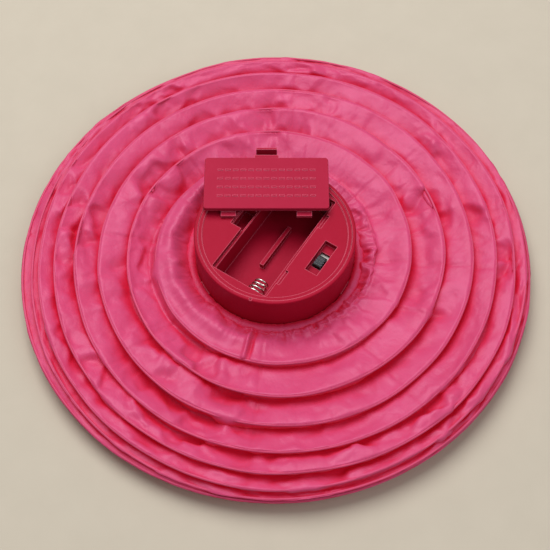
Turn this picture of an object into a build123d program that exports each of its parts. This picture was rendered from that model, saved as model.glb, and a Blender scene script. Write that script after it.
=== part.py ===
from build123d import *
import math
import os

# Round paper lantern, folded flat, with a battery light case in its mouth.
# Millimetres. Origin on the lantern's axis at the plane it rests on, +Z up
# (out through the case mouth), +X along the battery cells, +Y towards the
# tray's latch notch.

# Paper shade
LANTERN_R = 100.5
PAPER_T = 0.8
RIM_CENTRE_R = 90.0        # centre of the folded rim's half ellipse
RIM_HALF_W = LANTERN_R - RIM_CENTRE_R
RIM_HALF_H = 6.8
RIM_STEPS = 16
CASE_MOUTH_R = 34.9
HANG_MOUTH_R = 36.0
# Upper face of the top paper, from the rim inwards: (radius, z)
TOP_LINE = [(RIM_CENTRE_R, 2 * RIM_HALF_H), (75.0, 14.1), (60.0, 14.2),
            (46.0, 13.4), (39.5, 10.6), (CASE_MOUTH_R, 9.0)]

# Spiral rib; latitudes are those of the opened lantern, in degrees
RIB_WIRE_R = 0.6
RIB_GAP = 0.25             # between wire and paper
RIB_INSET = PAPER_T + RIB_GAP + RIB_WIRE_R
RIB_TOP_DROP = 0.1         # extra room under the top paper
RIB_R = LANTERN_R - RIB_INSET
RIB_START_LAT, RIB_END_LAT = 68.4, -67.8
RIB_STEPS = 340
PHASE_LAT = 70.5           # latitude at which the turn angle is RIB_PHASE
RIB_PHASE = -185.0
SPLIT_LAT = -1.5           # where the pitch changes
UPPER_PITCH = 9.0          # latitude dropped in one turn above the split
LOWER_PITCH = 8.625        # and below it

# Mouth rings and hanger
RING_R = 33.5
RING_WIRE_R = 0.8
CASE_RING_Z = 8.0
HANG_RING_Z = 2.2
EAR_X = 31.0
EAR_R, EAR_T = 1.9, 0.9
EAR_HOLE_R = 0.72
BAIL_WIRE_R = 0.6
BAIL_REACH = 26.4
BAIL_LEG_X = EAR_X - 1.9
BAIL_END_X = 32.3
BAIL_LOOP_R = 1.9

# Case drum
DRUM_R = 31.0
DRUM_IN_R = DRUM_R - 1.5
DRUM_Z0 = 6.0
DRUM_TOP = 25.0
DRUM_FLOOR = 1.6
FLANGE_R, FLANGE_T = 34.4, 1.1
LEDGE_IN_R = 28.25
SCREW_AT = [(-17.5, -18.0), (17.5, -18.0), (0.0, 22.8)]
NIB_ANGLES = (33.0, 153.0, 273.0)

# Tray plate and battery bay; half sizes where centred on the axis
PLATE_TOP = 24.2
PLATE_UNDER = PLATE_TOP - 1.6
PLATE_R = 29.4
BORDER_IN_R = 27.9
TUB_R = 28.1               # everything under the plate stays inside this
TUB_WALL = 1.1
BAY_X, BAY_Y = 24.8, 10.9
RECESS_Y = 12.1
BAY_FLOOR = 11.9
CELL_Y = 5.6
LUG_AT = 14.6
NOTCH_X = 5.1

# Slide switch
SWITCH_X, SWITCH_Y = 0.4, -20.5
WIN_HALF_X, WIN_HALF_Y = 7.4, 2.6
WIN_FLOOR = PLATE_TOP - 2.5
SHELL_HALF_X, SHELL_HALF_Y = 6.3, 2.9
SHELL_TOP = WIN_FLOOR - 1.05
SHELL_Z0 = 14.4
SHELL_T = 0.4
KNOB_HALF_X, KNOB_HALF_Y = 2.4, 1.8
KNOB_TRAVEL = 2.0
KNOB_X = SWITCH_X - KNOB_TRAVEL / 2    # pushed to the -X end of its travel
STEM_HALF_X = 1.3
TERMINAL_PITCH = 3.5
TERMINALS = [SWITCH_X + step * TERMINAL_PITCH for step in (-1, 0, 1)]

# Battery cover
COVER_L, COVER_W, COVER_T = 48.4, 23.8, 1.6
COVER_Z = 26.42
COVER_TOP = COVER_Z + COVER_T
COVER_AT = (15.6, 14.1)
COVER_TURN = -57.0
COVER_EDGE = COVER_W / 2
LATCH_X = 4.1

# Battery contacts
CONTACT_X, CONTACT_T = 24.35, 0.35
CONTACT_Z0, CONTACT_Z1 = BAY_FLOOR + 0.1, 21.6
CONTACT_MID_Z = 17.4

# LED, resistor and wiring
LED_R = 2.5
LED_TIP = 1.0
LED_BASE = 9.6
LED_PIN_X = 1.27
LED_LEAD_Z = 10.25
LEAD_R = 0.25
CABLE_R = 0.5
RESISTOR_X, RESISTOR_Y = 13.0, -6.0
RESISTOR_R, RESISTOR_L = 1.15, 6.3
RESISTOR_Z = 9.1
LED_CABLE_Z = 10.1         # the two cables that start at the LED's leads
RED_Z = 8.4
TAB_END_X = -24.3          # cable ends at the contact tabs
TERMINAL_END_Z = 10.95     # cable ends under the switch terminals


# --- Shared shapes ---

def box(x0, x1, y0, y1, z0, z1):
    return Pos((x0 + x1) / 2, (y0 + y1) / 2, (z0 + z1) / 2) * Box(x1 - x0, y1 - y0, z1 - z0)


def block(x, y, half_x, half_y, z0, z1):
    """Box centred on (x, y)."""
    return box(x - half_x, x + half_x, y - half_y, y + half_y, z0, z1)


def cyl(x, y, radius, z0, z1):
    return Pos(x, y, (z0 + z1) / 2) * Cylinder(radius, z1 - z0)


def tube(inner_r, outer_r, z0, z1):
    return cyl(0, 0, outer_r, z0, z1) - cyl(0, 0, inner_r, z0 - 1, z1 + 1)


def sweep_wire(path, radius, is_frenet=False):
    start = Plane(origin=path @ 0, z_dir=path % 0)
    return sweep(start * Circle(radius), path=path, is_frenet=is_frenet)


def wire_run(points, radius, bend=1.2):
    """Round wire through the points, with its corners bent to a radius."""
    path = FilletPolyline(*points, radius=bend) if len(points) > 2 else Line(*points)
    return sweep_wire(path, radius)


# --- Lantern ---

def rim_arc(half_w, half_h):
    """Half ellipse round the folded rim, from bottom to top: (radius, z)."""
    angles = [math.radians(-90 + 180.0 * i / RIM_STEPS) for i in range(RIM_STEPS + 1)]
    return [(RIM_CENTRE_R + half_w * math.cos(angle), RIM_HALF_H + half_h * math.sin(angle))
            for angle in angles]


def paper_shade():
    """Thin closed shell of revolution with both mouths open."""
    outer = [(HANG_MOUTH_R, 0.0)] + rim_arc(RIM_HALF_W, RIM_HALF_H) + TOP_LINE[1:]
    inner = [(radius, z - PAPER_T) for radius, z in reversed(TOP_LINE[1:])]
    inner += reversed(rim_arc(RIM_HALF_W - PAPER_T, RIM_HALF_H - PAPER_T))
    inner += [(HANG_MOUTH_R, PAPER_T)]
    profile = Polyline(*[(radius, 0, z) for radius, z in outer + inner], close=True)
    return revolve(make_face(profile), axis=Axis.Z)


def top_z(radius):
    """Height of the top paper at a radius between its mouth and its rim."""
    points = sorted(TOP_LINE)
    for (r_in, z_in), (r_out, z_out) in zip(points, points[1:]):
        if radius <= r_out:
            return z_in + (z_out - z_in) * (radius - r_in) / (r_out - r_in)


def rib_point(lat):
    turn = math.radians(RIB_PHASE
                        + (PHASE_LAT - max(lat, SPLIT_LAT)) * 360.0 / UPPER_PITCH
                        + (SPLIT_LAT - min(lat, SPLIT_LAT)) * 360.0 / LOWER_PITCH)
    radius = RIB_R * math.cos(math.radians(lat))
    if radius > RIM_CENTRE_R:
        angle = math.acos(min(1.0, (radius - RIM_CENTRE_R) / (RIM_HALF_W - RIB_INSET)))
        rise = (RIM_HALF_H - RIB_INSET) * math.sin(angle)
        z = RIM_HALF_H + math.copysign(rise, lat)
    elif lat > 0:
        z = top_z(radius) - RIB_INSET - RIB_TOP_DROP
    else:
        z = RIB_INSET
    return (radius * math.cos(turn), radius * math.sin(turn), z)


def spiral_rib():
    """One continuous wire inside the paper, from mouth to mouth."""
    span = RIB_END_LAT - RIB_START_LAT
    path = Spline(*[rib_point(RIB_START_LAT + span * i / RIB_STEPS)
                    for i in range(RIB_STEPS + 1)])
    return sweep_wire(path, RIB_WIRE_R, is_frenet=True)


def case_mouth_ring():
    return Pos(0, 0, CASE_RING_Z) * Torus(RING_R, RING_WIRE_R)


def hang_mouth_ring():
    """Ring with two pierced ears, each on two short legs, for the bail's end pins."""
    ring = Pos(0, 0, HANG_RING_Z) * Rot(0, 0, 90) * Torus(RING_R, RING_WIRE_R)
    for side in (-1, 1):
        place = Pos(side * EAR_X, 0, HANG_RING_Z) * Rot(0, 90, 0)
        ear = place * Cylinder(EAR_R, EAR_T)
        leg_x0, leg_x1 = sorted((side * EAR_X, side * RING_R))
        for y in (-1.35, 1.35):
            ear += box(leg_x0, leg_x1, y - 0.4, y + 0.4, HANG_RING_Z - 0.4, HANG_RING_Z + 0.4)
        ear -= place * Cylinder(EAR_HOLE_R, 3.0)
        ring += ear
    return ring


def hanger_bail():
    """Bent wire between the ears with a small loop at its middle."""
    half = [(-BAIL_END_X, 0), (-BAIL_LEG_X, 0), (-BAIL_LEG_X, -9.0), (-18.0, -23.0)]
    outline = half + [(0, -BAIL_REACH)] + [(-x, y) for x, y in reversed(half)]
    bail = wire_run([(x, y, HANG_RING_Z) for x, y in outline], BAIL_WIRE_R, bend=1.0)
    bail += Pos(0, -BAIL_REACH - 2.0, HANG_RING_Z) * Torus(BAIL_LOOP_R, BAIL_WIRE_R)
    return bail


# --- Light case ---

def case_drum():
    """Outer shell with floor, flange, ledge, LED boss and screw posts."""
    drum = cyl(0, 0, DRUM_R, DRUM_Z0, DRUM_TOP)
    drum = fillet(drum.edges().group_by(Axis.Z)[-1], 0.6)
    drum -= cyl(0, 0, DRUM_IN_R, DRUM_Z0 + DRUM_FLOOR, DRUM_TOP + 1)
    drum += tube(DRUM_R - 0.5, FLANGE_R, DRUM_Z0, DRUM_Z0 + FLANGE_T)
    # ledge just under the tray plate, then the LED boss
    drum += tube(LEDGE_IN_R, DRUM_IN_R + 0.2, 21.0, PLATE_UNDER - 0.02)
    drum += cyl(0, 0, 4.1, DRUM_Z0, LED_BASE - 1.02)
    for x, y in SCREW_AT:
        drum += cyl(x, y, 3.2, DRUM_Z0, 12.0)
    # screw head wells and shank holes
    for x, y in SCREW_AT:
        drum -= cyl(x, y, 2.4, DRUM_Z0 - 1, 9.8)
        drum -= cyl(x, y, 1.3, 9.0, 13.0)
    drum -= cyl(0, 0, LED_R + 0.1, DRUM_Z0 - 1, LED_BASE)
    # snap nibs that keep the mouth ring down on the flange
    for angle in NIB_ANGLES:
        drum += Rot(0, 0, angle) * box(DRUM_R - 0.8, DRUM_R + 1.9, -3.0, 3.0, 8.9, 9.4)
    # shallow round gate mark in the top edge
    gate_r, gate_angle = 30.25, math.radians(-164.4)
    drum -= cyl(gate_r * math.cos(gate_angle), gate_r * math.sin(gate_angle), 0.5,
                DRUM_TOP - 0.35, DRUM_TOP + 1)
    return drum


def tray_plate():
    """Top plate, battery tub, cover recess, latch and switch pockets."""
    # walls hanging under the plate
    tub = block(0, 0, BAY_X + TUB_WALL, BAY_Y + TUB_WALL, BAY_FLOOR - 1.2, PLATE_UNDER)
    tub &= cyl(0, 0, TUB_R, 0, PLATE_UNDER)
    latch_wall = box(-NOTCH_X - 1, NOTCH_X + 1, BAY_Y + 0.2, 17.9, 17.2, PLATE_UNDER)
    switch_wall = block(SWITCH_X, SWITCH_Y, WIN_HALF_X + 1, WIN_HALF_Y + 1,
                        WIN_FLOOR - 1.0, PLATE_UNDER)
    switch_wall &= cyl(0, 0, TUB_R, 0, 40)
    # plate with its raised border
    plate = cyl(0, 0, PLATE_R, PLATE_UNDER, PLATE_TOP)
    plate += tube(BORDER_IN_R, PLATE_R, PLATE_TOP - 0.2, PLATE_TOP + 0.5)
    plate += tub + latch_wall + switch_wall
    for x, y in SCREW_AT:
        plate += cyl(x, y, 2.5, 12.05, PLATE_UNDER)
    # battery bay and cover recess
    bay = block(0, 0, BAY_X, BAY_Y, BAY_FLOOR, PLATE_TOP + 1)
    plate -= fillet(bay.edges().filter_by(Axis.Z), 1.4)
    recess = block(0, 0, BAY_X, RECESS_Y, PLATE_UNDER, PLATE_TOP + 1)
    plate -= fillet(recess.edges().filter_by(Axis.Z), 0.8)
    # cradle ridge between the two cells
    plate += box(-9.6, 10.6, -0.8, 0.8, BAY_FLOOR - 0.2, BAY_FLOOR + 2.5)
    # latch notch with a catch lip
    plate -= box(-NOTCH_X, NOTCH_X, RECESS_Y - 0.5, 16.9, 18.4, PLATE_TOP + 1)
    plate += box(-NOTCH_X, NOTCH_X, 16.3, 17.2, 22.2, 23.2)
    # lug slots
    for x in (-LUG_AT, LUG_AT):
        plate -= box(x - 3.3, x + 3.3, -RECESS_Y - 1.3, -RECESS_Y + 0.5,
                     PLATE_TOP - 1.2, PLATE_TOP + 1)
    # switch window and knob slot
    plate -= block(SWITCH_X, SWITCH_Y, WIN_HALF_X, WIN_HALF_Y, WIN_FLOOR, PLATE_TOP + 1)
    plate -= block(SWITCH_X, SWITCH_Y, KNOB_HALF_X + KNOB_TRAVEL / 2 + 0.3, KNOB_HALF_Y + 0.2,
                   18.0, PLATE_TOP)
    # contact tab slots in the tub floor and pilot holes for the screws
    for y in (-CELL_Y, CELL_Y):
        plate -= block(-24.5, y, 0.25, 1.3, BAY_FLOOR - 2.0, BAY_FLOOR + 0.5)
    for x, y in SCREW_AT:
        plate -= cyl(x, y, 1.15, 11.0, 21.0)
    return plate


def case_screws():
    """Cross-slotted screws, heads down."""
    screws = []
    for x, y in SCREW_AT:
        screw = cyl(x, y, 2.1, 8.0, 9.78) + cyl(x, y, 1.1, 9.5, 19.0)
        screw -= block(x, y, 1.2, 0.25, 7.0, 9.0)
        screw -= block(x, y, 0.25, 1.2, 7.0, 9.0)
        screws.append(screw)
    return Compound(children=screws)


def cover_latch():
    """Springy U latch on the cover's +Y edge."""
    latch = box(-LATCH_X, LATCH_X, COVER_EDGE + 0.1, COVER_EDGE + 5.0,
                COVER_Z - 4.4, COVER_Z + 1.3)
    latch = fillet(latch.edges().filter_by(Axis.X).group_by(Axis.Z)[0], 1.6)
    hollow = box(-LATCH_X - 1, LATCH_X + 1, COVER_EDGE + 1.2, COVER_EDGE + 4.0,
                 COVER_Z - 3.4, COVER_Z + 3)
    hollow = fillet(hollow.edges().filter_by(Axis.X).group_by(Axis.Z)[0], 0.8)
    return latch - hollow


def battery_cover():
    """Cover lying loose across the case; modelled about its own centre, then placed."""
    panel = block(0, 0, COVER_L / 2, COVER_EDGE, COVER_Z, COVER_TOP)
    panel = fillet(panel.edges().filter_by(Axis.Z), 1.3)
    panel = fillet(panel.edges().group_by(Axis.Z)[-1], 0.35)
    # ribs that hold the cells down
    for y in (-CELL_Y, CELL_Y):
        panel += block(0, y, 21.0, 0.6, COVER_Z - 1.4, COVER_Z + 0.2)
    # L-shaped lugs on the -Y edge
    for x in (-LUG_AT, LUG_AT):
        panel += box(x - 2.9, x + 2.9, -COVER_EDGE + 0.1, -COVER_EDGE + 1.3,
                     COVER_Z - 2.1, COVER_Z + 0.2)
        panel += box(x - 2.9, x + 2.9, -COVER_EDGE - 1.9, -COVER_EDGE + 0.9,
                     COVER_Z - 2.1, COVER_Z - 0.8)
    # tab wider than the latch, the latch, and the bar across its free side
    panel += box(-4.8, 4.8, COVER_EDGE - 0.5, COVER_EDGE + 1.3, COVER_Z, COVER_TOP - 0.1)
    panel += cover_latch()
    panel += box(-LATCH_X, LATCH_X, COVER_EDGE + 4.6, COVER_EDGE + 5.6,
                 COVER_Z - 1.6, COVER_Z - 0.6)
    # four rows of evenly spaced raised dashes
    for row in range(4):
        for k in range(13):
            panel += block(-18.0 + 3.0 * k, 6.0 - 4.0 * row, 1.0, 0.4,
                           COVER_TOP - 0.1, COVER_TOP + 0.15)
    return Pos(*COVER_AT, 0) * Rot(0, 0, COVER_TURN) * panel


# --- Slide switch ---

def switch_shell():
    """Steel shell, open below, with a slot for the knob's stem."""
    shell = block(SWITCH_X, SWITCH_Y, SHELL_HALF_X, SHELL_HALF_Y, SHELL_Z0, SHELL_TOP)
    shell -= block(SWITCH_X, SWITCH_Y, SHELL_HALF_X - SHELL_T, SHELL_HALF_Y - SHELL_T,
                   13.0, SHELL_TOP - SHELL_T)
    shell -= block(SWITCH_X, SWITCH_Y, STEM_HALF_X + KNOB_TRAVEL / 2 + 0.2, 1.2,
                   SHELL_TOP - 1, SHELL_TOP + 1)
    return shell


def switch_base():
    """Phenolic base, slotted for the terminals."""
    base = block(SWITCH_X, SWITCH_Y, SHELL_HALF_X - 0.45, SHELL_HALF_Y - 0.45, SHELL_Z0, 15.9)
    for x in TERMINALS:
        base -= block(x, SWITCH_Y, 0.65, 0.3, 13.0, 17.0)
    return base


def switch_terminals():
    pins = []
    for x in TERMINALS:
        pin = block(x, SWITCH_Y, 0.6, 0.25, 11.0, 16.5)
        pin -= Pos(x, SWITCH_Y, 12.2) * Rot(90, 0, 0) * Cylinder(0.3, 3)
        pins.append(pin)
    return Compound(children=pins)


def switch_knob():
    """Grooved knob with its stem and the foot inside the shell."""
    knob = block(KNOB_X, SWITCH_Y, KNOB_HALF_X, KNOB_HALF_Y, SHELL_TOP + 0.1, 23.2)
    knob = fillet(knob.edges().group_by(Axis.Z)[-1], 0.5)
    for offset in (-1.2, 0.0, 1.2):
        knob -= block(KNOB_X + offset, SWITCH_Y, 0.2, 3, 22.95, 25)
    knob += block(KNOB_X, SWITCH_Y, STEM_HALF_X, 1.0, 17.4, SHELL_TOP + 0.3)
    knob += block(KNOB_X, SWITCH_Y, 2.4, 1.9, 17.0, 18.6)
    return knob


# --- Battery contacts; side is -1 or 1, the bay's -X or +X end ---

def end_plate(side, y):
    x0, x1 = sorted((side * CONTACT_X, side * (CONTACT_X + CONTACT_T)))
    plate = box(x0, x1, y - 4.2, y + 4.2, CONTACT_Z0, CONTACT_Z1)
    return fillet(plate.edges().filter_by(Axis.X).group_by(Axis.Z)[-1], 1.5)


def tabbed_plate(y):
    """-X end plate with a tab down through the tub floor."""
    return end_plate(-1, y) + box(-CONTACT_X - CONTACT_T, -CONTACT_X, y - 1.1, y + 1.1,
                                  8.0, CONTACT_Z0 + 0.5)


def button(side, y):
    return Pos(side * 24.2, y, CONTACT_MID_Z) * Rot(0, 90, 0) * Cylinder(1.8, 0.5)


def bridge_plate():
    """Two end plates joined by a strip."""
    plate = end_plate(1, -CELL_Y) + end_plate(1, CELL_Y)
    plate += box(CONTACT_X, CONTACT_X + CONTACT_T, -CELL_Y, CELL_Y, 16.2, 19.6)
    plate += button(1, -CELL_Y)
    return plate


def spring(side, y):
    """Tapered coil pointing into the bay."""
    path = Helix(pitch=1.75, height=7.0, radius=3.4, cone_angle=-8)
    coil = sweep_wire(path, 0.3, is_frenet=True)
    return Pos(side * 24.0, y, CONTACT_MID_Z) * Rot(0, -90 * side, 0) * coil


# --- LED, resistor and wiring under the tub ---

def led_lens():
    """Lens with its dome down and a collar at its base."""
    lens = cyl(0, 0, LED_R, LED_TIP + LED_R, LED_BASE)
    lens += Pos(0, 0, LED_TIP + LED_R) * Sphere(LED_R)
    lens += cyl(0, 0, 2.9, LED_BASE - 1.0, LED_BASE)
    return lens


def led_leads():
    return Compound(children=[
        wire_run([(side * LED_PIN_X, 0, LED_BASE + 0.02), (side * LED_PIN_X, 0, LED_LEAD_Z),
                  (side * 6.0, 0, LED_LEAD_Z)], LEAD_R, bend=0.4)
        for side in (1, -1)])


def resistor():
    place = Pos(RESISTOR_X, RESISTOR_Y, RESISTOR_Z) * Rot(90, 0, 0)
    return place * Cylinder(RESISTOR_R, RESISTOR_L)


def resistor_leads():
    x, z = RESISTOR_X, RESISTOR_Z
    reach = RESISTOR_L / 2 + 0.01
    bent = wire_run([(x, RESISTOR_Y + reach, z), (x, 0.0, z), (12.25, 0.0, z)],
                    LEAD_R, bend=0.35)
    straight = wire_run([(x, RESISTOR_Y - reach, z), (x, -11.6, z)], LEAD_R)
    return Compound(children=[bent, straight])


def wire_anode():
    return wire_run([(6.05, 0, LED_CABLE_Z), (9.5, 0, LED_CABLE_Z), (11.0, 0, RESISTOR_Z),
                     (12.2, 0, RESISTOR_Z)], CABLE_R, bend=0.4)


def wire_link():
    """From the resistor to the +X switch terminal."""
    x, z = TERMINALS[2], RESISTOR_Z
    return wire_run([(RESISTOR_X, -11.65, z), (RESISTOR_X, -14.5, z), (x, -17.5, z),
                     (x, SWITCH_Y, z), (x, SWITCH_Y, TERMINAL_END_Z)], CABLE_R, bend=0.8)


def wire_black():
    """From the LED to the negative plate's tab."""
    z = LED_CABLE_Z
    return wire_run([(-6.05, 0, z), (-8.8, 0, z), (-16.0, -CELL_Y, z),
                     (TAB_END_X, -CELL_Y, z)], CABLE_R, bend=0.9)


def wire_red():
    """From the positive plate's tab to the middle switch terminal."""
    x, z = TERMINALS[1], RED_Z
    return wire_run([(TAB_END_X, CELL_Y, z), (-14.0, CELL_Y, z), (-11.5, -8.0, z),
                     (x, -14.0, z), (x, SWITCH_Y, z), (x, SWITCH_Y, TERMINAL_END_Z)],
                    CABLE_R, bend=0.8)


# --- Export ---

PIECES = {
    "paper_shade": paper_shade(),
    "spiral_rib": spiral_rib(),
    "case_mouth_ring": case_mouth_ring(),
    "hang_mouth_ring": hang_mouth_ring(),
    "hanger_bail": hanger_bail(),
    "case_drum": case_drum(),
    "tray_plate": tray_plate(),
    "case_screws": case_screws(),
    "battery_cover": battery_cover(),
    "switch_shell": switch_shell(),
    "switch_base": switch_base(),
    "switch_terminals": switch_terminals(),
    "switch_knob": switch_knob(),
    "negative_plate": tabbed_plate(-CELL_Y),
    "positive_plate": tabbed_plate(CELL_Y) + button(-1, CELL_Y),
    "bridge_plate": bridge_plate(),
    "negative_spring": spring(-1, -CELL_Y),
    "bridge_spring": spring(1, CELL_Y),
    "led_lens": led_lens(),
    "led_leads": led_leads(),
    "resistor": resistor(),
    "resistor_leads": resistor_leads(),
    "wire_anode": wire_anode(),
    "wire_link": wire_link(),
    "wire_black": wire_black(),
    "wire_red": wire_red(),
}

os.makedirs("parts", exist_ok=True)
for node, shape in PIECES.items():
    shape.label = node
    export_step(shape, f"parts/{node}.step")
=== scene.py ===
"""A round paper lantern with a spiral rib, folded flat, with its battery and LED case.

Its axis is +Z and it lies on the floor at z = 0: the case mouth is on top and the hanging
mouth is at the bottom. Paper and rib are laid out in mm, everything else in metres.
"""
import bpy
import bmesh
import math
import numpy as np
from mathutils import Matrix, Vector, noise

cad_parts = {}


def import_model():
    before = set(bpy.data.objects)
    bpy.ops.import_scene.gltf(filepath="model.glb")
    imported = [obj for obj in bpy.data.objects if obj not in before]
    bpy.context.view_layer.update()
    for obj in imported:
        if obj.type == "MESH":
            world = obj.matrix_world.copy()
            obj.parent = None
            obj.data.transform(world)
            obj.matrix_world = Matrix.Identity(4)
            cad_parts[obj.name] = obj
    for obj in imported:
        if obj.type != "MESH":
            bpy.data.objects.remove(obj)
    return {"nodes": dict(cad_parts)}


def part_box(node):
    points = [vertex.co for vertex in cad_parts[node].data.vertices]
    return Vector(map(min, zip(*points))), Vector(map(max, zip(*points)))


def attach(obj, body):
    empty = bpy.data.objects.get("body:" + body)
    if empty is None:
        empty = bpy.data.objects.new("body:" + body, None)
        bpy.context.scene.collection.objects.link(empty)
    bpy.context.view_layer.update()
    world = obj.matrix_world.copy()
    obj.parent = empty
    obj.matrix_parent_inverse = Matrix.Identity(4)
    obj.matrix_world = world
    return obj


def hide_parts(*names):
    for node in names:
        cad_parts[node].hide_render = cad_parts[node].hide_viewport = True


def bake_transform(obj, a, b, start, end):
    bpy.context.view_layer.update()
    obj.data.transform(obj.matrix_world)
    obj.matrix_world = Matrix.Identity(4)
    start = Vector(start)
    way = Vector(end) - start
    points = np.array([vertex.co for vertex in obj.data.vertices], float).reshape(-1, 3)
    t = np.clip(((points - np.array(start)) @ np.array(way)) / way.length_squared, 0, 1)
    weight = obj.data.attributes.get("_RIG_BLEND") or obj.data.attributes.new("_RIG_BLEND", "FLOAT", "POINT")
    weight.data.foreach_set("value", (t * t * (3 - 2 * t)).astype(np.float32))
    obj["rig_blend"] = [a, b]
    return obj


MM = 0.001


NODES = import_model()["nodes"]
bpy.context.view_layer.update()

# ---------------------------------------------------------------------------
# Layout of the paper and rib: mm, degrees, and turns counted from the case mouth
# ---------------------------------------------------------------------------
SPHERE_R = 100.5          # opened lantern
TURNS = 16                # of the rib, from mouth to mouth
COLUMNS = 720             # of mesh in one turn
BAND_ROWS = 16            # of mesh across one band of paper
START_ANGLE = -185.0
MOUTH_LAT = 70.5          # latitude of the case mouth; the hanging mouth mirrors it
BEND_TURN, BEND_LAT = 8, -1.5    # where the pitch of the spiral changes
UPPER_PITCH = (MOUTH_LAT - BEND_LAT) / BEND_TURN
LOWER_PITCH = (BEND_LAT + MOUTH_LAT) / (TURNS - BEND_TURN)
MOUTH_RISE = SPHERE_R * math.sin(math.radians(MOUTH_LAT))
OPEN_BASE = 2.0           # height of the hanging mouth once opened

# folded rib: radii, then heights there
UPPER_PROFILE = ([30, 33.5, 36, 39.5, 43, 48, 60, 75, 90],
                 [8.4, 8.7, 9.3, 11.0, 12.7, 13.6, 14.1, 14.0, 13.4])
LOWER_PROFILE = ([30, 33.5, 38, 45, 90],
                 [2.1, 2.0, 1.4, 1.0, 0.95])
# past RIM_R the rib follows two quarter ellipses that meet at RIM_Z
RIM_R, RIM_Z, RIM_WIDTH = 90.0, 6.9, 10.3
RIM_ABOVE, RIM_BELOW = 6.5, 5.95

# towards this angle the turns lie nearer the axis: turns, then outward shifts
LEAN_ANGLE = 123.0
LEAN_SHIFT = ([0.5, 0.9, 1.86, 2.86, 3.86, 5.86, 6.86, 7.86, 8.9],
              [0, 0, -2.5, -3.0, -4.3, -4.2, -4.0, -0.9, 0])
END_FADE = 1.5            # turns over which unevenness dies out at each mouth

SEAMS = [27.0 + 45.0 * i for i in range(8)]
FLOOR_GAP = 0.25          # lowest height of the paper
CREASE_DEPTH = 0.8        # scale of all creases


def unit(values):
    return np.clip(values, 0, 1)


def bell(values, width):
    return np.exp(-(values / width) ** 2)


def ridge(values):
    """Turn smooth noise into sharp ridges where it crosses zero."""
    return (1.0 - np.abs(values) * 2.2).clip(-1, 1)


def wave(x, y, z, seed):
    """Smooth noise for arrays, about -1 to 1."""
    out = np.empty(len(x))
    for i in range(len(x)):
        out[i] = noise.noise((x[i] + seed * 7.31, y[i] - seed * 3.17, z[i] + seed * 1.93))
    return out


def ring_wave(azimuth, height, spread, seed):
    """Noise round a ring; a larger spread gives more ripples."""
    return wave(np.cos(azimuth) * spread, np.sin(azimuth) * spread, height, seed)


def latitude(turn):
    return np.where(turn <= BEND_TURN, MOUTH_LAT - UPPER_PITCH * turn,
                    BEND_LAT - LOWER_PITCH * (turn - BEND_TURN))


def flat_rib(turn):
    """Radius and height of the folded rib, before any unevenness."""
    lat = np.radians(latitude(turn))
    radius = SPHERE_R * np.cos(lat)
    rim = np.sqrt(unit(1 - ((radius - RIM_R) / RIM_WIDTH) ** 2))
    outside = radius > RIM_R
    upper = np.where(outside, RIM_Z + RIM_ABOVE * rim, np.interp(radius, *UPPER_PROFILE))
    lower = np.where(outside, RIM_Z - RIM_BELOW * rim, np.interp(radius, *LOWER_PROFILE))
    return radius, np.where(lat > 0, upper, lower)


def lean(azimuth):
    return unit(np.cos(azimuth - math.radians(LEAN_ANGLE))) ** 1.5


def unevenness(turn, azimuth):
    """Slow wander of the rib turns: shifts outward and upward."""
    x, y, z = np.cos(azimuth) * 1.15, np.sin(azimuth) * 1.15, turn * 0.75
    fade = unit(turn / END_FADE) * unit((TURNS - turn) / END_FADE)
    lat = latitude(turn)
    top = unit(lat / 14.0)                             # 1 well above the equator
    free = np.clip(np.abs(lat) / 20.0, 0.12, 1)        # little play at the equator
    # long and short ripples, in mm
    outward = (0.55 * wave(x, y, z, 1) + 0.45 * wave(x * 3.1, y * 3.1, z, 12)) * fade * free
    outward += lean(azimuth) * np.interp(turn, *LEAN_SHIFT)
    upward = 1.1 * wave(x, y, z, 2) + 0.45 * wave(x * 2.6, y * 2.6, z, 3)
    upward = upward * fade * (0.25 + 0.75 * top)
    # the lowest turns can only lift off the floor
    return outward, np.where(lat < -10, np.abs(upward) * 0.3, upward)


def opening_rise(turn_lat, z):
    """How far a point rises from folded height z to its place on the sphere."""
    return SPHERE_R * np.sin(np.radians(turn_lat)) - z + MOUTH_RISE + OPEN_BASE


# ---------------------------------------------------------------------------
# Grid of the sheet: each column crosses every band, from one rib turn to the next
# ---------------------------------------------------------------------------
total_rows = (TURNS + 1) * BAND_ROWS + 1
grid = np.meshgrid(np.arange(COLUMNS), np.arange(total_rows), indexing="ij")
column, row = grid[0].ravel(), grid[1].ravel()
share = column / COLUMNS
band = np.minimum(row // BAND_ROWS, TURNS) - 1
across = (row - (band + 1) * BAND_ROWS) / BAND_ROWS    # 0 to 1 over the band
start_turn = np.clip(band + share, 0, TURNS)
end_turn = np.clip(band + 1 + share, 0, TURNS)
mid_turn = 0.5 * (start_turn + end_turn)
turn = start_turn + across * (end_turn - start_turn)
angle = START_ANGLE + 360.0 * share
azimuth = np.radians(angle)
lat = latitude(turn)


def bezier(along, first, pull, last):
    return (1 - along) ** 2 * first + 2 * along * (1 - along) * pull + along ** 2 * last


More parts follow.
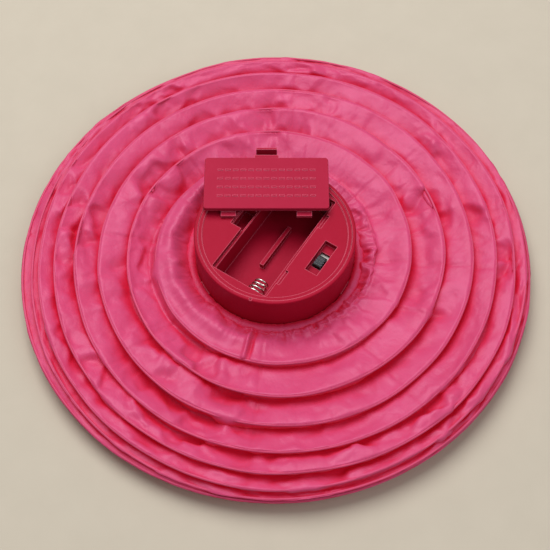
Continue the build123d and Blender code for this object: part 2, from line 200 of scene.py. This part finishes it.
def fold_band(r_start, z_start, r_end, z_end, gap):
    """Radius and height of the paper folded between two rib turns.

    gap is the flat distance between the turns. Two curves meet at the fold.
    """
    side = np.clip(latitude(mid_turn) / 16.0, -1, 1)    # 1 upper half, -1 lower half
    size = unit((end_turn - start_turn) / 0.5)          # bands narrow away at the mouths
    # the collar nearest the case is drawn tight, with no fold
    loose = unit((mid_turn - 0.35) / 0.9)

    # how tightly the fold closes: noise, and wide open where the second turn leans
    shut = np.clip(0.65 - 1.5 * ring_wave(azimuth, mid_turn * 0.9, spread=1.5, seed=14),
                   -0.9, 1.1)
    shut = shut - 2.6 * lean(azimuth) * unit(1.0 - np.abs(mid_turn - 1.36) / 0.7)
    shut = np.where(side > 0.3, shut, 0.9)
    # how far the fold goes towards the axis and down (up in the lower half), in mm
    tuck = np.clip((15.8 - gap) * 0.5, 0.7, 2.4) * size * shut * loose
    deep = 1.0 + 0.55 * ring_wave(azimuth, mid_turn * 0.8, spread=1.9, seed=15)
    drop = 4.6 * deep * size * np.clip(0.35 + gap / 14.0, 0, 1.1) * loose
    # vertical bend of the second curve, as a share of its height
    bow = np.clip(0.05 + 0.75 * ring_wave(azimuth, mid_turn * 1.1, spread=2.4, seed=19),
                  -0.38, 0.38)

    fold_at = 0.5 - 0.26 * side * (0.2 + 0.8 * loose)
    r_fold = np.minimum(r_start, r_end) - tuck + (1 - loose) * 0.3 * np.abs(r_end - r_start)
    z_fold = 0.5 * (z_start + z_end) - drop * side
    z_fold = np.where(side < -0.5, np.clip(z_fold, 0.9, None), z_fold)

    # pull points: the paper bulges past the outer rib by the lip
    up = 0.5 * (side + 1)
    down = 1 - up
    lip = 1.25 * size * loose
    r_pull1 = up * (r_start + lip) + down * (0.5 * (r_fold + r_start))
    z_pull1 = (up * (0.5 * (z_start + z_fold) - 0.25)
               + down * (0.5 * (z_fold + z_start) + 0.25 * size))
    r_pull2 = up * (0.5 * (r_fold + r_end)) + down * (r_end + lip)
    z_pull2 = (up * (0.5 * (z_fold + z_end) + bow * (z_end - z_fold))
               + down * (0.5 * (z_end + z_fold) + 0.25))
    before = across <= fold_at
    along1 = unit(across / fold_at)
    along2 = unit((across - fold_at) / (1 - fold_at))
    radius = np.where(before, bezier(along1, r_start, r_pull1, r_fold),
                      bezier(along2, r_fold, r_pull2, r_end))
    height = np.where(before, bezier(along1, z_start, z_pull1, z_fold),
                      bezier(along2, z_fold, z_pull2, z_end))
    return radius, height


r_start, z_start = flat_rib(start_turn)
r_end, z_end = flat_rib(end_turn)
gap = np.abs(r_end - r_start)
z_flat = fold_band(r_start, z_start, r_end, z_end, gap)[1]
start_out, start_up = unevenness(start_turn, azimuth)
end_out, end_up = unevenness(end_turn, azimuth)
r_now, z_now = fold_band(r_start + start_out, z_start + start_up,
                         r_end + end_out, z_end + end_up, gap)

# ---------------------------------------------------------------------------
# Creases, laid out in mm on the opened sphere
# ---------------------------------------------------------------------------
lat_rad = np.radians(lat)
sphere_x = SPHERE_R * np.cos(lat_rad) * np.cos(azimuth)
sphere_y = SPHERE_R * np.cos(lat_rad) * np.sin(azimuth)
sphere_z = SPHERE_R * np.sin(lat_rad)


def seam_distance(seam):
    turned = (angle - seam + 180.0) % 360.0 - 180.0
    return np.abs(np.radians(turned)) * SPHERE_R * np.cos(lat_rad)


def sphere_wave(size, seed):
    """Noise over the opened sphere, with lumps of about this size."""
    return wave(sphere_x / size, sphere_y / size, sphere_z / size, seed)


def facets(cell, seed, sharp=16.0):
    """Height of crumpled facets: each cell of paper tilts its own way."""
    here = np.stack([sphere_x / cell + seed, sphere_y / cell + seed * 2.0,
                     sphere_z / cell - seed], 1)
    count = len(here)
    distances, centres = np.empty((count, 4)), np.empty((count, 4, 3))
    for i in range(count):
        near, points = noise.voronoi(tuple(here[i]))
        distances[i] = near
        centres[i] = [tuple(point) for point in points]
    # a fixed hash of each cell's centre gives its tilt
    key = centres @ np.array([12.9898, 78.233, 37.719])
    tilt = np.stack([np.modf(np.abs(np.sin(key + shift) * 4375.85))[0] * 2 - 1
                     for shift in (0.0, 1.7, 3.1)], -1)
    weights = np.exp(-sharp * (distances - distances[:, :1]))
    weights /= weights.sum(1)[:, None]
    return (weights * (tilt * (here[:, None, :] - centres)).sum(-1)).sum(1) * cell


def crease_heights(seam_gap):
    """Creases along the sheet's normal, before scaling."""
    broad = sphere_wave(size=15.0, seed=4)
    medium = sphere_wave(size=8.0, seed=5)
    small = sphere_wave(size=4.2, seed=6)
    patches = wave(sphere_x / 10.0 + broad, sphere_y / 10.0 - broad, sphere_z / 10.0, seed=7)
    # ripples that run across a band, from rib to rib
    ribwise = ring_wave(azimuth, lat * 0.035, spread=15.0, seed=8)
    ribwise_fine = ring_wave(azimuth, lat * 0.06, spread=34.0, seed=9)
    fold_lines = ring_wave(azimuth, lat * 0.20, spread=3.4, seed=18)
    # crumpling comes in patches and fades at the equator
    crumpled = np.clip(0.5 + 1.3 * sphere_wave(size=30.0, seed=17), 0.15, 1.0)
    crumpled *= np.clip(np.abs(lat) / 26.0, 0.38, 1.0)

    # the gains are heights in mm
    crease = 0.45 * broad + 0.10 * medium + 0.03 * small
    crease += 0.75 * ridge(fold_lines * 1.3) * unit(0.4 + 1.2 * patches)
    near_case = 1.0 + 1.5 * unit(1.2 - turn)
    crease += crumpled * (0.42 * facets(cell=12.0, seed=3.0)
                          + 0.24 * facets(cell=5.2, seed=5.0) * near_case)
    crease += 0.22 * ridge(ribwise) * (0.4 + broad) * crumpled + 0.08 * ribwise_fine
    crease += 0.35 * bell(seam_gap, 0.9)
    crease *= np.where(lat > -12, 1.0, 0.35)
    # flatter at the ribs and where a band narrows away
    amount = 0.25 + 0.75 * np.sin(np.pi * unit(across)) ** 0.6
    amount *= unit((end_turn - start_turn) / 0.25)
    return crease * amount, medium


def collar_heights(medium):
    """Upward shift of the collar round the case: gathers, a roll and a pleat."""
    fade = unit(1.0 - turn / 0.75) ** 0.7
    stronger_side = 0.55 + 0.45 * np.cos(np.radians(angle + 95.0))
    coarse = ring_wave(azimuth, turn * 1.6, spread=8.0, seed=10)
    fine = ring_wave(azimuth, turn * 2.6, spread=17.0, seed=11)
    shift = (fade * stronger_side * (0.95 * ridge(coarse) + 1.05 * ridge(fine))
             * np.clip(turn / 0.12, 0.15, 1))
    # a broad crumpled roll stands up round 128 degrees, at radius 40.3
    roll = unit(np.cos(azimuth - math.radians(128.0)) * 1.6) * unit((0.95 - turn) / 0.1)
    shift += roll * (3.1 + 1.3 * medium) * bell(r_now - 40.3, 3.4)
    # one tight pleat near -160 degrees: a ridge beside a groove, from the case outwards
    sideways = (angle + 160.0) * r_now / 57.3    # degrees to mm of arc
    pleat = unit(1.0 - np.abs(turn - 0.62) / 0.62) ** 0.5 * (angle < -100)
    return shift + pleat * (1.7 * bell(sideways + 0.9, 0.8) - 1.5 * bell(sideways - 0.8, 0.8))


# ---------------------------------------------------------------------------
# Paper sheet
# ---------------------------------------------------------------------------
def vertex_at(col, line):
    """Vertex number; past the last column the sheet joins the next turn."""
    if col < COLUMNS:
        return col * total_rows + line
    return min(line + BAND_ROWS, total_rows - 1)


def smooth(mesh):
    mesh.polygons.foreach_set("use_smooth", [True] * len(mesh.polygons))


def mesh_object(name, points, faces, floats=None, vectors=None):
    """A smooth mesh from points in mm, with point attributes."""
    mesh = bpy.data.meshes.new(name)
    mesh.from_pydata((np.asarray(points) * MM).tolist(), [], faces)
    for kind, field, group in (("FLOAT", "value", floats), ("FLOAT_VECTOR", "vector", vectors)):
        for key, values in (group or {}).items():
            layer = mesh.attributes.new(key, kind, "POINT")
            layer.data.foreach_set(field, np.asarray(values, np.float32).ravel())
    mesh.update()
    obj = bpy.data.objects.new(name, mesh)
    bpy.context.scene.collection.objects.link(obj)
    smooth(mesh)
    return obj


def point_normals(points, faces):
    guide = mesh_object("tmp_sheet", points, faces)
    normals = np.empty(len(points) * 3, np.float32)
    guide.data.vertices.foreach_get("normal", normals)
    bpy.data.objects.remove(guide)
    return normals.reshape(-1, 3)


def build_sheet():
    faces = [(vertex_at(c, j), vertex_at(c + 1, j), vertex_at(c + 1, j + 1), vertex_at(c, j + 1))
             for c in range(COLUMNS) for j in range(total_rows - 1)]
    points = np.stack([r_now * np.cos(azimuth), r_now * np.sin(azimuth), z_now], 1)
    seam_gap = np.minimum.reduce([seam_distance(seam) for seam in SEAMS])
    crease, medium = crease_heights(seam_gap)
    points = points + point_normals(points, faces) * crease[:, None] * CREASE_DEPTH
    points[:, 2] += collar_heights(medium)
    points[:, 2] = np.maximum(points[:, 2], FLOOR_GAP)

    rise = opening_rise(lat, z_flat)
    obj = mesh_object("paper_sheet", points, faces,
                      {"seam": bell(seam_gap, 0.8), "keep_w": unit(rise / rise.max()),
                       "band": across},
                      {"paper_co": np.stack([sphere_x, sphere_y, sphere_z], 1)})
    # weld the narrowed bands at the mouths
    bm = bmesh.new()
    bm.from_mesh(obj.data)
    bmesh.ops.remove_doubles(bm, verts=bm.verts, dist=2e-6)
    bmesh.ops.dissolve_degenerate(bm, edges=bm.edges, dist=1e-6)
    bm.to_mesh(obj.data)
    bm.free()
    smooth(obj.data)
    return obj


# ---------------------------------------------------------------------------
# Rib wire under the paper's ridges, and paper hems round the two mouth rings
# ---------------------------------------------------------------------------
def sweep(centres, radius, sides, closed=False):
    """Points and faces of a round tube through centres."""
    count = len(centres)
    if closed:
        tangent = np.roll(centres, -1, 0) - np.roll(centres, 1, 0)
    else:
        tangent = np.gradient(centres, axis=0)
    tangent /= np.linalg.norm(tangent, axis=1)[:, None]
    sideways = np.cross(tangent, np.array([0.0, 0.0, 1.0]))
    sideways /= np.linalg.norm(sideways, axis=1)[:, None]
    upward = np.cross(sideways, tangent)
    around = 2 * math.pi * np.arange(sides) / sides
    radii = radius * np.ones(count)
    points = centres[:, None, :] + radii[:, None, None] * (
        np.cos(around)[None, :, None] * sideways[:, None, :]
        + np.sin(around)[None, :, None] * upward[:, None, :])
    faces = []
    for i in range(count if closed else count - 1):
        here, after = i * sides, (i + 1) % count * sides
        for s in range(sides):
            s2 = (s + 1) % sides
            faces.append((here + s, after + s, after + s2, here + s2))
    if not closed:
        faces.append(tuple(range(sides)))
        faces.append(tuple(reversed(range((count - 1) * sides, count * sides))))
    return points.reshape(-1, 3), faces


def build_rib(wire_r=0.5, sides=8, steps_per_turn=200, end_gap=0.02):
    turns = np.linspace(end_gap, TURNS - end_gap, TURNS * steps_per_turn)
    around = np.radians(START_ANGLE + 360.0 * turns)
    radius, height = flat_rib(turns)
    outward, upward = unevenness(turns, around)
    side = np.clip(latitude(turns) / 16.0, -1, 1)
    full_rise = MOUTH_RISE * 2 + OPEN_BASE - z_flat[0]
    weights = unit(opening_rise(latitude(turns), height) / full_rise)
    # the wire sits just inside the paper's ridge
    radius = radius + outward - 0.65 * np.sqrt(unit(1 - side ** 2)) + 0.15 * side
    height = np.clip(height + upward - 0.68 * side, 0.75, None)
    path = np.stack([radius * np.cos(around), radius * np.sin(around), height], 1)
    points, faces = sweep(path, wire_r, sides)
    return mesh_object("rib_wire_spiral", points, faces, {"keep_w": np.repeat(weights, sides)})


def build_hem(name, z, seed, ring_r, tube_r, flatten, steps=540, sides=14):
    """A lumpy paper tube round a mouth ring at height z."""
    around = 2 * math.pi * np.arange(steps) / steps
    centres = np.stack([ring_r * np.cos(around), ring_r * np.sin(around), np.full(steps, z)], 1)
    coarse = ring_wave(around, around * 0, spread=14, seed=seed)
    fine = ring_wave(around, around * 0, spread=30, seed=seed + 1)
    centres[:, 2] += 0.12 * coarse
    radii = tube_r + 0.22 * ridge(coarse) + 0.12 * ridge(fine)
    points, faces = sweep(centres, radii, sides, closed=True)
    points[:, 2] = z + (points[:, 2] - z) * flatten
    return mesh_object(name, points, faces,
                       {"seam": np.zeros(len(points)), "band": np.full(len(points), 0.5)},
                       {"paper_co": points * 1.6})


sheet = build_sheet()
rib = build_rib()
case_hem = build_hem("case_mouth_hem", z=8.35, seed=21, ring_r=32.95, tube_r=1.85, flatten=0.75)
hang_hem = build_hem("hang_mouth_hem", z=2.2, seed=31, ring_r=33.6, tube_r=0.85, flatten=1.0)


# ---------------------------------------------------------------------------
# Materials
# ---------------------------------------------------------------------------
class Shader:
    """A new material with a Principled BSDF, and helpers that add nodes to it.

    Inputs are given as {input: value or socket}; helpers return an output socket.
    """

    def __init__(self, name):
        self.material = bpy.data.materials.new(name)
        self.material.use_nodes = True
        self.tree = self.material.node_tree
        self.tree.nodes.clear()
        self.output = self.node("OutputMaterial")
        self.bsdf = self.node("BsdfPrincipled")
        self.feed(self.output, {"Surface": self.bsdf.outputs["BSDF"]})

    def feed(self, node, inputs):
        for key, value in inputs.items():
            if isinstance(value, bpy.types.NodeSocket):
                self.tree.links.new(value, node.inputs[key])
            else:
                node.inputs[key].default_value = value

    def principled(self, inputs):
        self.feed(self.bsdf, inputs)

    def node(self, kind, inputs=None, **settings):
        node = self.tree.nodes.new("ShaderNode" + kind)
        for key, value in settings.items():
            setattr(node, key, value)
        self.feed(node, inputs or {})
        return node

    def object_coords(self):
        return self.node("TexCoord").outputs["Object"]

    def attribute(self, name, output):
        return self.node("Attribute", attribute_name=name).outputs[output]

    def noise(self, vector, scale, detail=3.0, rough=0.6, distortion=0.0):
        return self.node("TexNoise", {
            "Scale": scale, "Detail": detail, "Roughness": rough,
            "Distortion": distortion, "Vector": vector}).outputs["Fac"]

    def ramp(self, factor, stops, interpolation="LINEAR"):
        """Stops are (position, grey level or RGB)."""
        node = self.node("ValToRGB", {"Fac": factor})
        ramp = node.color_ramp
        ramp.interpolation = interpolation
        while len(ramp.elements) < len(stops):
            ramp.elements.new(0.5)
        for element, (position, colour) in zip(ramp.elements, stops):
            element.position = position
            rgb = (colour,) * 3 if isinstance(colour, float) else colour
            element.color = (*rgb, 1)
        return node.outputs["Color"]

    def math(self, operation, *values):
        return self.node("Math", dict(enumerate(values)), operation=operation).outputs[0]

    def mix(self, blend, factor, first, second):
        return self.node("MixRGB", {"Fac": factor, "Color1": first, "Color2": second},
                         blend_type=blend).outputs["Color"]

    def bevel(self, radius, samples):
        return self.node("Bevel", {"Radius": radius}, samples=samples).outputs["Normal"]

    def bump(self, height, distance, strength, normal=None):
        inputs = {"Strength": strength, "Distance": distance, "Height": height}
        if normal is not None:
            inputs["Normal"] = normal
        return self.node("Bump", inputs).outputs["Normal"]


def paper_material():
    """Thin crimson paper; its pattern is laid out in mm on the opened sphere."""
    shader = Shader("crinkled_paper")
    coords = shader.attribute("paper_co", "Vector")
    seam = shader.attribute("seam", "Fac")

    # three sizes of crumpled cells on warped coordinates, soft lumps and a fibre grain
    warp = shader.node("TexNoise", {"Scale": 0.10, "Detail": 3, "Vector": coords})
    warped = shader.node("VectorMath", {0: warp.outputs["Color"], 1: (9, 9, 9), 2: coords},
                         operation="MULTIPLY_ADD").outputs[0]
    layers = []
    for scale, gain in ((0.13, 1.0), (0.30, 0.5), (0.62, 0.22)):
        cells = shader.node("TexVoronoi", {"Scale": scale, "Vector": warped},
                            feature="F1", distance="EUCLIDEAN")
        layers.append(shader.math("MULTIPLY", cells.outputs["Distance"], gain))
    crumple = shader.math("ADD", shader.math("ADD", layers[0], layers[1]), layers[2])
    soft = shader.noise(coords, scale=0.22, detail=5, distortion=0.6)
    fibre = shader.noise(coords, scale=2.6, detail=4, rough=0.7)
    crumpled = shader.bump(crumple, distance=0.0007, strength=0.28)
    softened = shader.bump(soft, distance=0.0004, strength=0.25, normal=crumpled)
    grained = shader.bump(fibre, distance=0.00005, strength=0.35, normal=softened)

    # blotchy colour, mottled by the fibre and darker along the seams
    blotch = shader.noise(coords, scale=0.05, detail=4)
    base = shader.ramp(blotch, [(0.30, (0.715, 0.068, 0.200)), (0.70, (0.765, 0.087, 0.245))])
    mottle = shader.ramp(fibre, [(0.25, 0.93), (0.75, 1.04)])
    mottled = shader.mix("MULTIPLY", 1.0, base, mottle)
    seamed = shader.mix("MULTIPLY", shader.math("MULTIPLY", seam, 0.22), mottled,
                        (0.86, 0.62, 0.70, 1))

    # painted shade and glow in the folds: where ambient occlusion finds a fold, the colour is painted deep
    # red, the specular is turned down and a faint red emission is added, standing in for light trapped in a
    # fold that bounces from red to red
    hollow = shader.node("AmbientOcclusion", {"Distance": 0.008}, samples=6)
    openness = shader.ramp(hollow.outputs["AO"], [(0.34, 0.0), (0.86, 1.0)])
    colour = shader.mix("MIX", openness, (0.74, 0.016, 0.060, 1), seamed)
    closed = shader.math("SUBTRACT", 1.0, openness)
    shader.principled({
        # painted glow: faint red emission in the folds, though the paper is no lamp
        "Emission Color": (0.30, 0.001, 0.012, 1),
        "Emission Strength": shader.math("MULTIPLY", closed, 0.28),
        "Base Color": colour,
        "Roughness": shader.math("MULTIPLY_ADD", soft, 0.20, 0.33),
        "Specular IOR Level": shader.math("MULTIPLY", openness, 0.50),
        "Specular Tint": (1.0, 0.74, 0.96, 1),
        "Sheen Weight": 0.12,
        "Sheen Roughness": 0.4,
        "Sheen Tint": (1.0, 0.72, 0.95, 1),
        "Normal": grained})

    # some light passes through, deep red, tinted from the colour above, painted fold shade included
    deep_red = shader.mix("MULTIPLY", 1.0, colour, (1.0, 0.16, 0.30, 1))
    through = shader.node("BsdfTranslucent", {"Color": deep_red, "Normal": softened})
    both = shader.node("MixShader", {"Fac": 0.30, 1: shader.bsdf.outputs["BSDF"],
                                     2: through.outputs["BSDF"]})
    shader.feed(shader.output, {"Surface": both.outputs["Shader"]})
    return shader.material


def moulded(name, dark, light, rough, grain=900.0, radius=0.0003, shine=(1.0, 1.0, 1.0)):
    """Moulded plastic with a painted highlight on its edges; radius rounds its edges and shine tints its
    highlights.
    """
    shader = Shader(name)
    coords = shader.object_coords()
    blotch = shader.noise(coords, scale=60.0, detail=4)
    fine = shader.noise(coords, scale=grain)
    rounded = shader.bevel(radius, samples=4)
    # painted highlight: edges, found where a wide bevel turns the normal, are painted paler, standing in for
    # the light that moulded edges catch
    facing = shader.node("VectorMath", {
        0: shader.bevel(0.0006, samples=6),
        1: shader.node("NewGeometry").outputs["Normal"]}, operation="DOT_PRODUCT")
    painted_edge_highlight = shader.math("MULTIPLY",
                       shader.math("SUBTRACT", 0.965, facing.outputs["Value"]), 7.0)
    painted_edge_highlight = shader.math("MINIMUM", shader.math("MAXIMUM", painted_edge_highlight, 0.0), 0.8)
    # the lighter colour painted on the edges as a highlight
    edge_highlight_colour = (min(1.0, light[0] * 1.7 + 0.12), light[1] * 1.7 + 0.13, light[2] * 1.7 + 0.17, 1)
    body = shader.ramp(blotch, [(0.3, dark), (0.7, light)])
    shader.principled({
        "Roughness": shader.math("MULTIPLY_ADD", fine, 0.18, rough - 0.09),
        "Base Color": shader.mix("MIX", painted_edge_highlight, body, edge_highlight_colour),
        "Normal": shader.bump(fine, distance=0.00003, strength=0.7, normal=rounded),
        "Specular IOR Level": 0.16,
        "Specular Tint": (*shine, 1)})
    return shader.material


def metal(name, colour, rough, tarnish=(0.35, 0.28, 0.2), amount=0.6):
    """Metal with tarnish spots; a higher amount leaves fewer spots."""
    shader = Shader(name)
    coords = shader.object_coords()
    scaled = shader.node("VectorMath", {0: coords, 1: (300, 300, 300)}, operation="MULTIPLY")
    grain = shader.noise(scaled.outputs[0], scale=1.0, detail=5)
    spots = shader.noise(coords, scale=420.0, detail=4)
    shader.principled({
        "Base Color": shader.ramp(spots, [(amount, colour), (min(1.0, amount + 0.22), tarnish)]),
        "Roughness": shader.math("MULTIPLY_ADD", grain, 0.25, rough - 0.1),
        "Metallic": 1.0,
        "Normal": shader.bump(grain, distance=0.00003, strength=0.6)})
    return shader.material


def led_material():
    shader = Shader("diffusing_epoxy")
    haze = shader.noise(shader.object_coords(), scale=500.0)
    shader.principled({
        "Base Color": shader.ramp(haze, [(0.3, (0.86, 0.83, 0.72)), (0.7, (0.93, 0.91, 0.84))]),
        "Roughness": 0.22,
        "Transmission Weight": 0.35,
        "Subsurface Weight": 0.2,
        "Subsurface Radius": (0.001, 0.001, 0.0008),
        "Normal": shader.bump(haze, distance=0.00002, strength=0.4)})
    return shader.material


def resistor_material():
    """Tan lacquer with four colour bands along Y."""
    shader = Shader("banded_lacquer")
    coords = shader.object_coords()
    split = shader.node("SeparateXYZ", {0: coords})
    low, high = (float(corner[1]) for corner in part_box("resistor"))
    along = shader.math("DIVIDE", shader.math("SUBTRACT", split.outputs["Y"], low), high - low)
    tan = (0.62, 0.46, 0.26)
    stops = [(0.0, tan)]
    # start, end and colour of each band
    for start, end, colour in ((0.16, 0.24, (0.25, 0.08, 0.02)), (0.36, 0.44, (0.01, 0.01, 0.01)),
                               (0.56, 0.64, (0.2, 0.07, 0.02)), (0.82, 0.90, (0.5, 0.35, 0.06))):
        stops += [(start, colour), (end, tan)]
    grain = shader.noise(coords, scale=1500.0)
    shader.principled({
        "Base Color": shader.ramp(along, stops, "CONSTANT"),
        "Roughness": 0.32,
        "Normal": shader.bump(grain, distance=0.00002, strength=0.5)})
    return shader.material


PINK_SHINE = (1.0, 0.22, 0.42)
case_mat = moulded("crimson_moulding", dark=(0.300, 0.0040, 0.018), light=(0.325, 0.0050, 0.022),
                   rough=0.40, shine=PINK_SHINE)
cover_mat = moulded("crimson_cover", dark=(0.325, 0.0105, 0.034), light=(0.350, 0.0130, 0.040),
                    rough=0.44, shine=PINK_SHINE)
slider = moulded("black_slider", dark=(0.008, 0.008, 0.008), light=(0.014, 0.013, 0.013),
                 rough=0.38, radius=0.00015)
laminate = moulded("brown_laminate", dark=(0.09, 0.04, 0.015), light=(0.14, 0.065, 0.025),
                   rough=0.55, grain=2000)
red_wire = moulded("red_insulation", dark=(0.42, 0.01, 0.01), light=(0.5, 0.015, 0.012),
                   rough=0.35, grain=1500)
black_wire = moulded("black_insulation", dark=(0.012, 0.012, 0.013), light=(0.02, 0.02, 0.02),
                     rough=0.35, grain=1500)
nickel = metal("nickel_contact", (0.72, 0.70, 0.66), rough=0.26, amount=0.55)
spring = metal("nickel_spring", (0.70, 0.69, 0.66), rough=0.24, tarnish=(0.42, 0.33, 0.22))
steel = metal("drawn_steel", (0.20, 0.19, 0.19), rough=0.45, amount=0.62)
zinc = metal("zinc_screw", (0.62, 0.62, 0.60), rough=0.32)
brass = metal("tinned_brass", (0.70, 0.60, 0.36), rough=0.3)
coated = moulded("coated_rib_wire", dark=(0.52, 0.05, 0.13), light=(0.62, 0.07, 0.17),
                 rough=0.4, grain=1200)

LOOK = {
    "case_drum": case_mat, "tray_plate": case_mat, "battery_cover": cover_mat,
    "case_screws": zinc, "case_mouth_ring": coated, "hang_mouth_ring": coated,
    "hanger_bail": steel, "switch_shell": steel, "switch_base": laminate,
    "switch_terminals": brass, "switch_knob": slider, "negative_plate": nickel,
    "negative_spring": spring, "positive_plate": nickel, "bridge_plate": nickel,
    "bridge_spring": spring, "led_lens": led_material(), "led_leads": steel,
    "resistor": resistor_material(), "resistor_leads": steel, "wire_anode": red_wire,
    "wire_link": red_wire, "wire_red": red_wire, "wire_black": black_wire,
}
for name, material in LOOK.items():
    obj = NODES[name]
    if len(obj.material_slots):
        for slot in obj.material_slots:
            slot.material = material
    else:
        obj.data.materials.append(material)

paper = paper_material()
for obj in (sheet, case_hem, hang_hem):
    obj.data.materials.append(paper)
rib.data.materials.append(coated)


def blend_by_rise(obj):
    """The lantern opens to a sphere: every point rises by its own share of the travel."""
    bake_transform(obj, "root", "case", start=(0, 0, 0), end=(0, 0, 0.02))
    attributes = obj.data.attributes
    weights = np.empty(len(obj.data.vertices), np.float32)
    attributes["keep_w"].data.foreach_get("value", weights)
    attributes["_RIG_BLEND"].data.foreach_set("value", weights)


blend_by_rise(sheet)
blend_by_rise(rib)
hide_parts("paper_shade")
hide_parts("spiral_rib")
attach(case_hem, "case")
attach(hang_hem, "root")

# ---------------------------------------------------------------------------
# Floor, camera and light
# ---------------------------------------------------------------------------
bpy.ops.mesh.primitive_plane_add(size=6.0, location=(0, 0, -0.0002))
floor = bpy.context.object
floor.name = "floor"
shader = Shader("pale_floor")
mottle = shader.noise(shader.object_coords(), scale=60.0, detail=5)
shader.principled({
    "Base Color": shader.ramp(mottle, [(0.3, (0.470, 0.425, 0.348)),
                                       (0.7, (0.487, 0.441, 0.362))]),
    "Roughness": 0.75,
    "Specular IOR Level": 0.2})
floor.data.materials.append(shader.material)

VIEW_ANGLE, VIEW_RISE = math.radians(-57.0), math.radians(60.0)
VIEW_DISTANCE = 0.450
# directions as the camera sees them
RIGHT = Vector((math.cos(VIEW_ANGLE), math.sin(VIEW_ANGLE), 0))
AWAY = Vector((-math.sin(VIEW_ANGLE), math.cos(VIEW_ANGLE), 0))
TO_CAMERA = Vector((math.sin(VIEW_ANGLE) * math.cos(VIEW_RISE),
                    -math.cos(VIEW_ANGLE) * math.cos(VIEW_RISE), math.sin(VIEW_RISE)))


def aim(obj, direction):
    obj.rotation_euler = direction.to_track_quat("-Z", "Y").to_euler()


lens = bpy.data.cameras.new("camera")
camera = bpy.data.objects.new("camera", lens)
bpy.context.scene.collection.objects.link(camera)
camera.location = TO_CAMERA * VIEW_DISTANCE
aim(camera, -TO_CAMERA)
lens.lens = 73.636364
lens.sensor_width = 36.0
lens.shift_y = -0.018
lens.clip_start = 0.01
bpy.context.scene.camera = camera


def disk_light(name, right, away, height, size, energy, colour):
    """A round area light that faces the origin."""
    light = bpy.data.lights.new(name, "AREA")
    light.shape = "DISK"
    light.size = size
    light.energy = energy
    light.color = colour
    obj = bpy.data.objects.new(name, light)
    bpy.context.scene.collection.objects.link(obj)
    obj.location = RIGHT * right + AWAY * away + Vector((0, 0, height))
    aim(obj, -obj.location)


disk_light("key", right=-0.24, away=0.50, height=1.14, size=1.1, energy=17.5,
           colour=(1.0, 0.98, 0.96))
disk_light("fill", right=0.9, away=-0.5, height=1.0, size=1.2, energy=4.8,
           colour=(0.96, 0.97, 1.0))
world = bpy.data.worlds.new("studio")
bpy.context.scene.world = world
world.use_nodes = True
background = world.node_tree.nodes["Background"]
background.inputs["Color"].default_value = (1.0, 0.985, 0.98, 1)
background.inputs["Strength"].default_value = 0.34
bpy.context.scene.view_settings.view_transform = "Standard"
